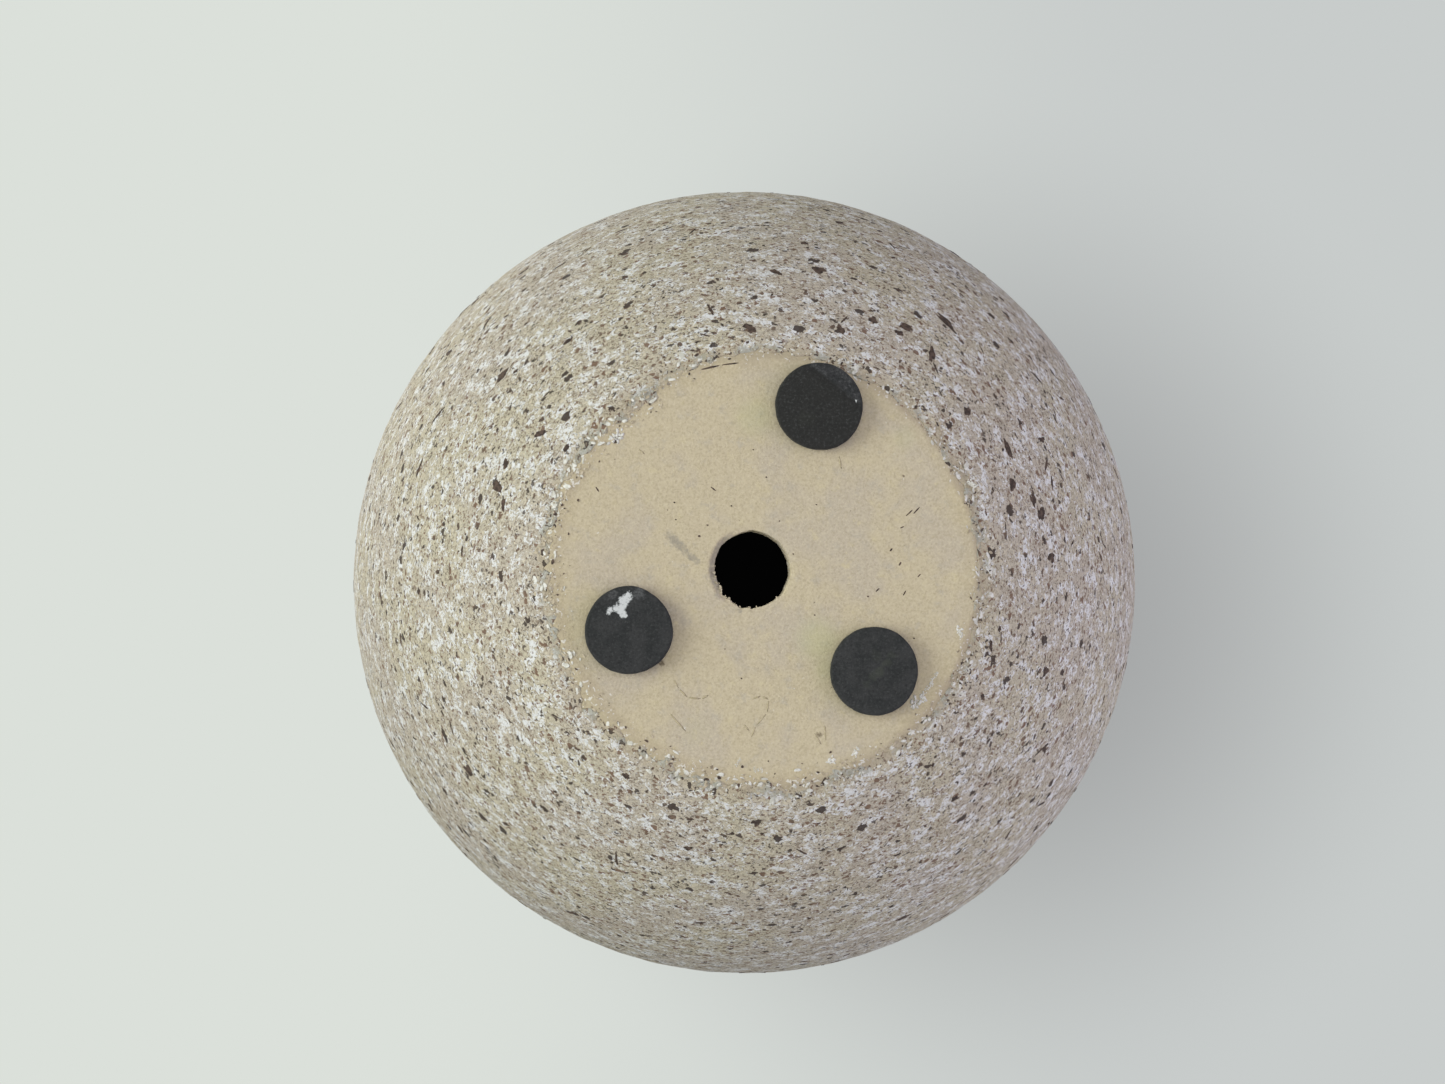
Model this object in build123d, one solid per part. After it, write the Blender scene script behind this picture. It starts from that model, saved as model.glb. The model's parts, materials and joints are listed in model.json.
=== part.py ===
from build123d import *
from math import cos, radians, sin, sqrt
import os

# A ball-shaped clay planter with a sprayed stone-effect coat. It stands on three foam pads.
# Millimetres, +Z up. The origin is on the surface that the planter stands on, under the ball's centre.

# Ball
ball_diameter = 125.0         # over the coat
base_radius = 31.0            # where the ball would meet the flat base in a sharp corner
mouth_radius = 40.0           # clear radius inside the coated lip
wall_thickness = 5.0          # fired clay
floor_thickness = 6.0         # fired clay over the base
base_corner_radius = 1.5      # soft outer corner round the base
floor_corner_radius = 5.0     # inside, between floor and wall
drain_diameter = 11.0
drain_x, drain_y = -1.8, -0.35   # the drain is punched by hand, a little off centre

# Coat
coat_thickness = 0.5
coat_bare_band = 1.2          # height of bare clay between the base and the coat's lower edge
coat_reach_inside = 9.0       # how far below the lip the coat runs down inside

# Feet, stuck on by hand: distance from the centre, and direction from +X towards +Y
pad_diameter = 12.7
pad_thickness = 2.0
pad_edge_radius = 0.4
adhesive_thickness = 0.15
adhesive_inset = 0.3          # the film is cut this much smaller than its pad, all round
pad_places = ((21.5, 42.4), (25.3, -71.7), (21.5, 156.6))

# Worked out from the sizes above
base_z = pad_thickness + adhesive_thickness
clay_radius = ball_diameter / 2 - coat_thickness
cavity_radius = clay_radius - wall_thickness
centre_z = base_z + sqrt(clay_radius**2 - base_radius**2)
lip_radius = wall_thickness / 2
lip_path_radius = clay_radius - lip_radius
lip_x = mouth_radius + coat_thickness + lip_radius
lip_z = centre_z + sqrt(lip_path_radius**2 - lip_x**2)
coat_bottom_z = base_z + coat_bare_band
coat_inside_z = lip_z + lip_radius - coat_reach_inside


def disc(radius, height):
    """A flat disc in section, centred on the axis at a height."""
    return Pos(0, height) * Circle(radius)


def band(low_z, high_z):
    """The right half of a section between two heights."""
    return Pos(ball_diameter / 2, (low_z + high_z) / 2) * Rectangle(ball_diameter, high_z - low_z)


def mouth_sector():
    """What the mouth takes out of the ball: a fan from the ball's centre through the lip's middle."""
    reach = 2 * ball_diameter
    scale = reach / lip_path_radius
    rim = (lip_x * scale, centre_z + (lip_z - centre_z) * scale)
    return make_face(Polyline((0, centre_z), rim, (0, rim[1]), close=True))


def nearest_corner(section, x, z):
    return section.vertices().sort_by_distance((x, z, 0))[0]


def clay_section():
    """The clay's wall, floor and round lip, to the right of the axis."""
    solid = disc(clay_radius, centre_z) & band(base_z, centre_z + clay_radius)
    floor_z = base_z + floor_thickness
    cavity = disc(cavity_radius, centre_z) & band(floor_z, centre_z + cavity_radius)
    floor_edge_x = sqrt(cavity_radius**2 - (centre_z - floor_z) ** 2)
    cavity = fillet(nearest_corner(cavity, floor_edge_x, floor_z), floor_corner_radius)
    solid = fillet(nearest_corner(solid, base_radius, base_z), base_corner_radius)
    lip = Pos(lip_x, lip_z) * Circle(lip_radius)
    return solid - cavity - mouth_sector() + lip


def coat_section():
    """The skin over the clay: outside, over the lip and a little way down inside."""
    clay = clay_section()
    skin = offset(clay, coat_thickness) - clay
    bare_inside = disc(clay_radius, centre_z) & band(0, coat_inside_z)
    return (skin & band(coat_bottom_z, ball_diameter)) - bare_inside


def turned(section):
    """The solid that a section sweeps out in one full turn about the axis."""
    return revolve(Plane.XZ * section, Axis.Z)


def pot_body():
    drain = Pos(drain_x, drain_y, base_z + floor_thickness / 2)
    return turned(clay_section()) - drain * Cylinder(drain_diameter / 2, 2 * floor_thickness)


def pad_spot(distance, direction):
    """The place on the standing surface under one pad's centre."""
    return Pos(distance * cos(radians(direction)), distance * sin(radians(direction)), 0)


def foot_pad():
    pad = Pos(0, 0, pad_thickness / 2) * Cylinder(pad_diameter / 2, pad_thickness)
    return fillet(pad.edges().group_by(Axis.Z)[0], pad_edge_radius)


def pad_adhesive():
    film_radius = pad_diameter / 2 - adhesive_inset
    return Pos(0, 0, pad_thickness + adhesive_thickness / 2) * Cylinder(film_radius, adhesive_thickness)


nodes = {"pot_body": pot_body(), "speckle_coat": turned(coat_section())}
for number, (distance, direction) in enumerate(pad_places, start=1):
    nodes[f"foot_pad_{number}"] = pad_spot(distance, direction) * foot_pad()
    nodes[f"pad_adhesive_{number}"] = pad_spot(distance, direction) * pad_adhesive()

os.makedirs("parts", exist_ok=True)
for name, shape in nodes.items():
    export_step(shape, f"parts/{name}.step")
    print(name, round(shape.volume, 1), shape.bounding_box())
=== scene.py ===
# %% [markdown]
# # A ball planter, seen from below
#
# The real object is a small clay plant pot the shape of a ball, with a flat base. It is slip-cast in a
# plaster mould, which gives an even wall. After firing, the outside is sprayed with a stone-effect coat,
# and three foam discs are stuck under the base.
#
# The CAD model holds every size. Each piece is rebuilt around it here with its finer detail: a ragged
# spray edge, crumbs, a torn drain hole and soft foam.

# %% Load the fixed frame
import bpy
import bmesh
import json
import random
from math import acos, asin, atan2, cos, pi, radians, sin, sqrt, tau
from mathutils import Matrix, Vector, noise


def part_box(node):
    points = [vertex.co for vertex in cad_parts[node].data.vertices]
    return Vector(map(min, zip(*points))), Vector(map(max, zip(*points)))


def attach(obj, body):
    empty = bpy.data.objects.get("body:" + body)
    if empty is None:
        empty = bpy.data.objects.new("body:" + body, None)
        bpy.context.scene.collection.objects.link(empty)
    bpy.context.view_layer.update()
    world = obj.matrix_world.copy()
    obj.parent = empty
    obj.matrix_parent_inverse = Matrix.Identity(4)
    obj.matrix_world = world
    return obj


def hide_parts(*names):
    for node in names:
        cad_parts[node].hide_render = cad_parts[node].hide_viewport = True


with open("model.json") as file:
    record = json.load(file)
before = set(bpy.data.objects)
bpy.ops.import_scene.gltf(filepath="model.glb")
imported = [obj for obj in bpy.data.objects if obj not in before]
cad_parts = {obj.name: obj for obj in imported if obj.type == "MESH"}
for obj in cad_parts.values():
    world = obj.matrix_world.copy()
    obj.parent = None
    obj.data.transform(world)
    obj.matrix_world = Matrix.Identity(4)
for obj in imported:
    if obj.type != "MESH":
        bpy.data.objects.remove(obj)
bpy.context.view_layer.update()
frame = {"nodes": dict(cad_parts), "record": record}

# %% [markdown]
# ## Sizes
#
# Lengths are written in millimetres and turned into metres by `MM`. The frame gives the clay's box, the
# feet's boxes and the drain hole's mount. The rest repeats the driving sizes of the CAD model.

# %% Read the sizes from the frame
MM = 0.001
clay_low, clay_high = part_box("pot_body")
BASE_Z = clay_low[2]
BASE_RADIUS = 31 * MM
MOUTH_RADIUS = 40 * MM
WALL = 5 * MM
FLOOR = 6 * MM
COAT = 0.5 * MM
BASE_CORNER = 1.5 * MM
FLOOR_CORNER = 5 * MM
COAT_INSIDE = 9 * MM
CLAY_RADIUS = 62 * MM
COAT_RADIUS = CLAY_RADIUS + COAT
CAVITY_RADIUS = CLAY_RADIUS - WALL
CENTRE = Vector((0, 0, BASE_Z + sqrt(CLAY_RADIUS**2 - BASE_RADIUS**2)))
LIP_RADIUS = WALL / 2
LIP_X = MOUTH_RADIUS + COAT + LIP_RADIUS
LIP_Z = CENTRE.z + sqrt((CLAY_RADIUS - LIP_RADIUS) ** 2 - LIP_X**2)
FLOOR_Z = BASE_Z + FLOOR

drain = next(m for m in frame["record"]["mounts"] if m["name"] == "drain_hole")
DRAIN = Vector((drain["pos_m"][0], drain["pos_m"][1], 0))
DRAIN_RADIUS = drain["dims"]["r_mm"] * MM
print("ball centre is", round(CENTRE.z / MM, 2), "mm up")
print("the lip is", round((LIP_Z + LIP_RADIUS) / MM, 2), "mm up, the CAD's", round(clay_high[2] / MM, 2))

# %% [markdown]
# ## The camera
#
# The camera stands half a metre under the base and looks up, with the row's -Y at the top of the
# picture. The pot's axis leans a little from the view, which shows more of its right and lower sides.
# A long lens keeps the ball round.

# %% Place the camera
CAMERA_DISTANCE = 500 * MM
LENS_MM = 85.6
LEAN_UP = radians(2.30)
LEAN_RIGHT = radians(-2.81)
OFF_RIGHT = 6.11 * MM
OFF_DOWN = 4.29 * MM

lens = bpy.data.cameras.new("camera")
lens.lens = LENS_MM
lens.sensor_width = 36
lens.clip_start = 0.01
lens.clip_end = 10
camera = bpy.data.objects.new("camera", lens)
bpy.context.scene.collection.objects.link(camera)
look_up = Matrix.Rotation(pi, 3, "X") @ Matrix.Rotation(LEAN_UP, 3, "X")
look_up = look_up @ Matrix.Rotation(LEAN_RIGHT, 3, "Y")
right, up, back = look_up.col
base_centre = Vector((0, 0, BASE_Z))
spot = base_centre - OFF_RIGHT * right + OFF_DOWN * up + CAMERA_DISTANCE * back
camera.matrix_world = Matrix.Translation(spot) @ look_up.to_4x4()
bpy.context.scene.camera = camera
bpy.context.scene.view_settings.view_transform = "Standard"
print("camera at", [round(v, 4) for v in spot])

# %% [markdown]
# ## Helpers for meshes and materials
#
# Round pieces are spun: an outline of points in the XZ plane is turned once about the ball's axis. `arc`
# lays points on part of a circle, and `spun` makes the solid. Layers on the outline's points are carried
# round by the spin, so that later moves know where each point belongs. `near` serves what happens in
# one direction only, such as a bruise on one side of the hole.

# %% Mesh helpers
def arc(x, z, radius, start, end, count):
    """Points on an arc about (x, z), from one angle to another. Angle 0 points outwards, 90 up."""
    steps = [start + (end - start) * i / count for i in range(count + 1)]
    return [(x + radius * cos(a), z + radius * sin(a)) for a in steps]


def spun(points, steps, marks=(), closed=True):
    """Turns an outline of (x, z) points about the Z axis. Marks are layers on it: (name, values)."""
    bm = bmesh.new()
    layers = [bm.verts.layers.float.new(name) for name, values in marks]
    verts = [bm.verts.new((x, 0, z)) for x, z in points]
    for layer, (name, values) in zip(layers, marks):
        for vert, value in zip(verts, values):
            vert[layer] = value
    first = 0 if closed else 1
    edges = [bm.edges.new((verts[i - 1], verts[i])) for i in range(first, len(verts))]
    bmesh.ops.spin(bm, geom=verts + edges, axis=(0, 0, 1), angle=tau, steps=steps, use_merge=True)
    bmesh.ops.remove_doubles(bm, verts=bm.verts, dist=1e-6)
    bmesh.ops.recalc_face_normals(bm, faces=bm.faces)
    return bm


def built(name, bm, material, smooth=True):
    """Writes a bmesh out as an object at the origin that wears one material."""
    mesh = bpy.data.meshes.new(name)
    for face in bm.faces:
        face.smooth = smooth
    bm.to_mesh(mesh)
    bm.free()
    mesh.materials.append(material)
    obj = bpy.data.objects.new(name, mesh)
    bpy.context.scene.collection.objects.link(obj)
    return obj


def made(name, bm, material, node=None, smooth=True):
    """A finished piece that rides on the pot. It may stand for a CAD node."""
    piece = built(name, bm, material, smooth)
    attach(piece, "root")
    if node:
        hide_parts(node)
    print(name, "has", sum(len(p.vertices) - 2 for p in piece.data.polygons), "triangles")
    return piece


# %% Small measuring helpers
def rise(low, high, value):
    """0 below low, 1 above high, and a soft S between them."""
    t = min(max((value - low) / (high - low), 0), 1)
    return t * t * (3 - 2 * t)


def wobble(place, size, octaves=2):
    """Smooth noise from about -1 to 1, whose lumps are about `size` metres apart."""
    return noise.fractal(place / size, 0.8, 2.0, octaves, noise_basis="PERLIN_ORIGINAL")


def heading(direction, z=0.0):
    """A step of one away from the axis, at a direction round it."""
    return Vector((cos(direction), sin(direction), z))


def near(direction, middle, inner, outer):
    """1 where a direction is within `inner` of the middle one, and softly down to 0 at `outer`."""
    return 1 - rise(inner, outer, abs((direction - middle + pi) % tau - pi))


# %% Material helpers
def linear(hex_colour):
    """An sRGB hex colour as the linear RGBA that a node takes."""
    parts = [int(hex_colour[i : i + 2], 16) / 255 for i in (1, 3, 5)]
    return [p / 12.92 if p <= 0.04045 else ((p + 0.055) / 1.055) ** 2.4 for p in parts] + [1]


def add(tree, kind, inputs=(), **settings):
    """Adds a node with its settings. Each input is a value, or an output or node to link to it."""
    node = tree.nodes.new(kind)
    for name, value in settings.items():
        setattr(node, name, value)
    for name, value in dict(inputs).items():
        value = value.outputs[0] if isinstance(value, bpy.types.Node) else value
        if isinstance(value, bpy.types.NodeSocket):
            tree.links.new(value, node.inputs[name])
        else:
            node.inputs[name].default_value = value
    return node


def fresh(name):
    """A new material, its empty tree, the output for its shader, and the piece's own coordinates."""
    material = bpy.data.materials.new(name)
    material.use_nodes = True
    tree = material.node_tree
    tree.nodes.clear()
    output = add(tree, "ShaderNodeOutputMaterial")
    return material, tree, output, add(tree, "ShaderNodeTexCoord").outputs["Object"]


# %% [markdown]
# A few recipes serve all the finishes. `layer` lays one colour over another wherever a value runs
# between two limits, as a second coat of paint does, and `layers` takes a table of them. `chips`
# scatters broken grains, one to a cell, most of them small. They read coordinates that `stirred` has
# pushed about, so that nothing comes out round.

# %% Material recipes
def layer(tree, under, over, value, start, end, strength=1.0):
    """A colour with another over it: none where the value is at start, all of it at end."""
    limits = {"Value": value, "From Min": start, "From Max": end, "To Max": strength}
    amount = add(tree, "ShaderNodeMapRange", limits, interpolation_type="SMOOTHSTEP")
    return add(tree, "ShaderNodeMix", {0: amount, 6: under, 7: over}, data_type="RGBA").outputs[2]


def layers(tree, colour, rows):
    """Lays colours over one another. A row is a hex colour, and a layer's value, start, end, strength."""
    for hex_colour, value, start, end, strength in rows:
        colour = layer(tree, colour, linear(hex_colour), value, start, end, strength)
    return colour


def stirred(tree, place, size, amount):
    """Coordinates pushed about by noise of one size, by up to about a third of the amount."""
    push = add(tree, "ShaderNodeTexNoise", {"Vector": place, "Scale": 1 / size, "Detail": 2.0})
    inputs = {0: push.outputs["Color"], 1: [amount] * 3, 2: place}
    return add(tree, "ShaderNodeVectorMath", inputs, operation="MULTIPLY_ADD")


def chips(tree, place, cell, largest, rarity):
    """Above 0 inside a grain. Grains have any radius up to `largest`, more small than large."""
    cells = add(tree, "ShaderNodeTexVoronoi", {"Vector": place, "Scale": 1 / cell})
    luck = add(tree, "ShaderNodeSeparateColor", {0: cells.outputs["Color"]})
    share = add(tree, "ShaderNodeMath", {0: luck, 1: rarity}, operation="POWER")
    reach = add(tree, "ShaderNodeMath", {0: share, 1: largest / cell}, operation="MULTIPLY")
    return add(tree, "ShaderNodeMath", {0: reach, 1: cells.outputs["Distance"]}, operation="SUBTRACT")


def matte_surface(tree, output, colour, height, depth, settings):
    """A shader with the settings and with bumps of a real depth in metres, joined to the output."""
    bump = add(tree, "ShaderNodeBump", {"Height": height, "Distance": depth})
    inputs = {"Base Color": colour, "Normal": bump}
    shader = add(tree, "ShaderNodeBsdfPrincipled", inputs | settings)
    tree.links.new(shader.outputs[0], output.inputs["Surface"])


# %% [markdown]
# ## Stage and light
#
# The pot stands upright on a pale floor, but it is looked at from below, where a floor would hide it.
# So the floor is one-sided: a pale studio sweep from above, and clear from below. The lamps below shine
# through it, so the soft shade where the pot stands is painted on the paper. High above hangs a pale
# card, which the camera sees behind the pot.
#
# A pot that lies mouth down has a black drain hole, because no light gets into the ball. Here the mouth
# is open, so a small black card hangs inside. It, too, is one-sided, and only the camera sees it.

# %% Build the stage
def staged(name, bm, material):
    """A stage piece that the camera sees, and that throws no light or shade on the pot."""
    card = built(name, bm, material)
    for kind in ("diffuse", "glossy", "transmission", "shadow", "volume_scatter"):
        setattr(card, "visible_" + kind, False)


def one_sided(tree, shader, output):
    """Shows the shader on the side that faces point to, and nothing on the other."""
    clear = add(tree, "ShaderNodeBsdfTransparent")
    side = add(tree, "ShaderNodeNewGeometry").outputs["Backfacing"]
    mix = add(tree, "ShaderNodeMixShader", {0: side, 1: shader, 2: clear})
    tree.links.new(mix.outputs[0], output.inputs["Surface"])


# %% The floor
SHADE_START = 85 * MM
SHADE_FULL = 30 * MM
SWEEP_FLAT = 1.3
SWEEP_CURVE = 0.9
SWEEP_TOP = 3.0
MIDDLE_GAP = 1 * MM

floor_paper, tree, output, place = fresh("floor_paper")
away = add(tree, "ShaderNodeVectorMath", {0: place}, operation="LENGTH").outputs["Value"]
colour = layer(tree, linear("#E6E8E4"), linear("#94969A"), away, SHADE_START, SHADE_FULL)
paper = add(tree, "ShaderNodeBsdfDiffuse", {"Color": colour})
one_sided(tree, paper, output)

sweep_side = [(MIDDLE_GAP, 0), (SWEEP_FLAT, 0)] + arc(SWEEP_FLAT, SWEEP_CURVE, SWEEP_CURVE, -pi / 2, 0, 24)
sweep_side += [(SWEEP_FLAT + SWEEP_CURVE, SWEEP_TOP)]
bm = spun(sweep_side, 96, closed=False)
bmesh.ops.contextual_create(bm, geom=[v for v in bm.verts if v.co.to_2d().length < 2 * MIDDLE_GAP])
bmesh.ops.recalc_face_normals(bm, faces=bm.faces)
if sum(f.normal.z * f.calc_area() for f in bm.faces) < 0:
    bmesh.ops.reverse_faces(bm, faces=bm.faces)
staged("floor_sweep", bm, floor_paper)

# %% The pale card behind the pot. It glows by itself, with painted light: lighter on the left, and a painted soft shadow of the ball
CARD_Z = 1.0
CARD_HALF = 0.7
SHADE_CENTRE = (0.150, -0.014, CARD_Z)

card_paper, tree, output, place = fresh("card_paper")
across = add(tree, "ShaderNodeSeparateXYZ", {0: place}).outputs["X"]
away = add(tree, "ShaderNodeVectorMath", {0: place, 1: SHADE_CENTRE}, operation="DISTANCE").outputs["Value"]
colour = layer(tree, linear("#DBE0DA"), linear("#C8CCCB"), across, -0.12, 0.26)
colour = layer(tree, colour, linear("#7C7A7D"), away, 0.24, 0.02, 0.60)
glow = add(tree, "ShaderNodeEmission", {"Color": colour, "Strength": 1}).outputs[0]
tree.links.new(glow, output.inputs["Surface"])
bm = bmesh.new()
high_up = Matrix.Translation((0, 0, CARD_Z))
bmesh.ops.create_grid(bm, x_segments=1, y_segments=1, size=CARD_HALF, matrix=high_up)
staged("pale_card", bm, card_paper)

# %% The black card inside the ball
dark_paper, tree, output, place = fresh("dark_paper")
dark = add(tree, "ShaderNodeEmission", {"Color": linear("#030303"), "Strength": 1})
one_sided(tree, dark, output)
bm = bmesh.new()
bmesh.ops.create_circle(bm, cap_ends=True, segments=48, radius=25 * MM)
bmesh.ops.translate(bm, verts=bm.verts, vec=(0, 0, FLOOR_Z + 12 * MM))
bmesh.ops.recalc_face_normals(bm, faces=bm.faces)
if any(f.normal.z > 0 for f in bm.faces):
    bmesh.ops.reverse_faces(bm, faces=bm.faces)
staged("dark_card", bm, dark_paper)


# %% Soft lamps, below for the base and above for the rest
def lamp(name, place, size, watts, colour):
    """A round soft box that faces the ball. It is hidden from the camera."""
    data = bpy.data.lights.new(name, "AREA")
    data.shape = "DISK"
    data.size = size
    data.energy = watts
    data.color = linear(colour)[:3]
    obj = bpy.data.objects.new(name, data)
    bpy.context.scene.collection.objects.link(obj)
    obj.location = place
    obj.rotation_mode = "QUATERNION"
    obj.rotation_quaternion = (CENTRE - Vector(place)).to_track_quat("-Z", "Y")
    obj.visible_camera = False


lamp("window_left", (-0.75, -0.05, -0.38), 0.6, 5.1, "#FAFDFA")
lamp("fill_right", (0.72, 0.02, -0.38), 0.7, 2.40, "#E3D4FF")
lamp("below", (0.0, 0.0, -1.0), 0.9, 2.3, "#FFFEFA")
lamp("high_key", (-0.55, -0.60, 0.95), 0.7, 7.0, "#FFFCF5")
lamp("high_fill", (0.80, 0.50, 0.70), 0.9, 3.0, "#F4F6FF")

world = bpy.data.worlds.new("studio_air")
world.use_nodes = True
air = world.node_tree.nodes["Background"].inputs
air["Color"].default_value = linear("#EEF1F2")
air["Strength"].default_value = 0.46
bpy.context.scene.world = world

# %% [markdown]
# ## Finish: unglazed fired clay
#
# The base is bare earthenware, sponged smooth before firing. It is dead matte and cream-tan, with
# faint grey clouds, pin-prick specks of iron and grog, and a darker, yellower band round the fettled
# corner: partly the clay's own tint there, partly painted shade where the corner turns away. A dust of
# overspray thins out from the edge inwards. Smears and stains that sit at one place are painted on the
# mesh as an attribute, which the material reads; the grey on the drain hole's rounded side is partly
# painted shade.

# %% Fired clay: the body colour
MARKS = "marks"
CORNER_TINT_AND_SHADE = "corner_tint_and_shade"

fired_clay, tree, output, place = fresh("fired_clay_sponged")
torn_place = stirred(tree, place, 0.8 * MM, 0.9 * MM)
# cloud, patchy, grain, torn and salt: coordinates, size in mm, detail and roughness
noises = []
for coordinates, size, detail, roughness in (
    (place, 9, 4, 0.5),
    (place, 2.2, 5, 0.65),
    (place, 0.33, 3, 0.6),
    (torn_place, 0.6, 4, 0.7),
    (torn_place, 0.6, 3, 0.5),
):
    inputs = {"Vector": coordinates, "Scale": 1 / (size * MM), "Detail": detail, "Roughness": roughness}
    noises.append(add(tree, "ShaderNodeTexNoise", inputs))
cloud, patchy, grain, torn, salt = noises
corner_tint_and_shade = add(tree, "ShaderNodeAttribute", attribute_name=CORNER_TINT_AND_SHADE).outputs["Fac"]
iron = chips(tree, torn_place, 2.6 * MM, 0.24 * MM, 4)
grog = chips(tree, torn_place, 0.9 * MM, 0.20 * MM, 2)

clay = layers(tree, linear("#C4B89A"), [
    ("#BFB49D", cloud, 0.46, 0.64, 1),
    ("#B7AF9C", patchy, 0.53, 0.7, 0.7),
    ("#C9BD9A", patchy, 0.44, 0.3, 0.8),
    # the corner band: partly the clay's yellower tint, partly painted shade where the corner turns away
    ("#BEB190", corner_tint_and_shade, 0, 1, 0.45),
    ("#A3977A", grain, 0.5, 0.66, 0.4),
    ("#D4CAAD", grain, 0.48, 0.34, 0.4),
    ("#6F6250", iron, 0, 0.04, 0.8),
    ("#A99C80", grog, 0, 0.12, 0.5),
])

# %% Fired clay: what has rubbed or drifted on to it
# painted marks: red is grey dust and painted shade, green is dark stain and painted shade, blue is green
# tint, alpha is overspray
marks = add(tree, "ShaderNodeAttribute", attribute_name=MARKS)
mark = add(tree, "ShaderNodeSeparateColor", {0: marks.outputs["Color"]})
overspray = marks.outputs["Alpha"]
dust_and_painted_light, stain_and_shade, hazy = [
    add(tree, "ShaderNodeMath", {0: amount, 1: torn}, operation="ADD")
    for amount in (mark.outputs[0], mark.outputs[1], overspray)
]

# the overspray's own grains: white ones, then dark ones
salted = add(tree, "ShaderNodeMath", {0: overspray, 1: 0.22, 2: salt}, operation="MULTIPLY_ADD")
pepper = chips(tree, torn_place, 0.9 * MM, 0.36 * MM, 1.7)
near_edge = {"Value": hazy, "From Min": 0.80, "From Max": 1.20, "To Min": -1.0}
near_edge = add(tree, "ShaderNodeMapRange", near_edge)
peppered = add(tree, "ShaderNodeMath", {0: pepper, 1: near_edge}, operation="MINIMUM")

clay = layers(tree, clay, [
    ("#918C80", dust_and_painted_light, 0.88, 1.3, 0.7),
    ("#DAD9D3", dust_and_painted_light, 1.4, 1.52, 0.85),
    ("#6A5E49", stain_and_shade, 0.88, 1.25, 0.85),
    ("#BBBB90", mark.outputs[2], 0, 1, 0.6),
    ("#B1A48A", hazy, 0.75, 1.3, 0.8),
    ("#DEDBD0", salted, 0.735, 0.785, 0.8),
    ("#6E6052", peppered, 0, 0.12, 0.75),
])
height = add(tree, "ShaderNodeMath", {0: patchy, 1: 0.8, 2: grain}, operation="MULTIPLY_ADD")
matte_surface(tree, output, clay, height, 0.10 * MM, {"Roughness": 0.92, "Specular IOR Level": 0.25})
print(fired_clay.name, "has", len(tree.nodes), "nodes")

# %% [markdown]
# ## Finish: sprayed stone-effect coat
#
# The spray is an acrylic binder full of mineral chips. It dries gritty and matte. To the eye it is a
# tan ground under a dense scatter of white chips, which gather in patches, and dark brown chips. White
# chips are about half a millimetre, and dark ones go up to two. The largest blots are made as real
# pieces, later on.

# %% Stone-effect coat: its ground
THIN = "thin"
SQUAT = 1.8  # heights count this many times, so chips on the ball's side are drawn out round it

spray, tree, output, place = fresh("stone_effect_spray")
squat_place = add(tree, "ShaderNodeVectorMath", {0: place, 1: (1, 1, SQUAT)}, operation="MULTIPLY")
torn_place = stirred(tree, squat_place, 0.9 * MM, 1.6 * MM)
# tone, sand, grit, salt, patch and brown, in the same way
noises = []
for coordinates, size, detail, roughness in (
    (place, 14, 3, 0.5),
    (torn_place, 0.5, 3, 0.65),
    (torn_place, 0.26, 2, 0.6),
    (torn_place, 0.58, 4, 0.72),
    (torn_place, 2.4, 2, 0.5),
    (place, 3.2, 1, 0.5),
):
    inputs = {"Vector": coordinates, "Scale": 1 / (size * MM), "Detail": detail, "Roughness": roughness}
    noises.append(add(tree, "ShaderNodeTexNoise", inputs))
tone, sand, grit, salt, patch, brown = noises

ground = layers(tree, linear("#CAC2A9"), [
    ("#C6BDAC", tone, 0.38, 0.62, 1),
    ("#938674", sand, 0.5, 0.36, 1),
    ("#DAD0B7", sand, 0.54, 0.66, 1),
    ("#8A7B68", grit, 0.56, 0.68, 0.75),
])

# %% Stone-effect coat: its chips
# white chips: small noise, with a broader one that gathers them in patches
white = add(tree, "ShaderNodeMath", {0: patch, 1: 0.65, 2: salt}, operation="MULTIPLY_ADD")
coat_colour = layer(tree, ground, linear("#EAEBE9"), white, 0.85, 0.93, 0.94)

# where the coat thins out towards its edge, tan and grey-green binder shows instead of chips
thin = add(tree, "ShaderNodeAttribute", attribute_name=THIN).outputs["Fac"]
thin = add(tree, "ShaderNodeMath", {0: thin, 1: sand}, operation="ADD")
binder = layer(tree, linear("#BBAF96"), linear("#A3A190"), patch, 0.46, 0.58)
coat_colour = layer(tree, coat_colour, binder, thin, 0.95, 1.50, 0.80)

# dark chips, brown or nearly black: a fine dust, a middle size and a coarse one, sizes in mm
chip_colour = layer(tree, linear("#7D6350"), linear("#453B34"), brown, 0.44, 0.60)
for colour, cell, largest, rarity, full, strength in (
    (chip_colour, 0.62, 0.34, 1.2, 0.14, 0.85),
    (chip_colour, 1.25, 0.60, 2.1, 0.08, 0.92),
    (linear("#483D36"), 3.1, 1.0, 3.6, 0.03, 0.95),
):
    grains = chips(tree, torn_place, cell * MM, largest * MM, rarity)
    coat_colour = layer(tree, coat_colour, colour, grains, 0, full, strength)

height = add(tree, "ShaderNodeMath", {0: white, 1: 0.5, 2: sand}, operation="MULTIPLY_ADD")
matte_surface(tree, output, coat_colour, height, 0.30 * MM, {"Roughness": 0.88, "Specular IOR Level": 0.3})
print(spray.name, "has", len(tree.nodes), "nodes")


# %% Plain grain finishes, for the pieces that are one colour each
def grain_finish(name, hex_low, hex_high):
    """Broken mineral grains: matte, with a little change of tone from place to place."""
    material, tree, output, place = fresh(name)
    tone = add(tree, "ShaderNodeTexNoise", {"Vector": place, "Scale": 1 / (0.6 * MM), "Detail": 2.0})
    colour = layer(tree, linear(hex_low), linear(hex_high), tone, 0.4, 0.6)
    settings = {"Roughness": 0.85, "Specular IOR Level": 0.3}
    matte_surface(tree, output, colour, tone, 0.05 * MM, settings)
    return material


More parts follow.
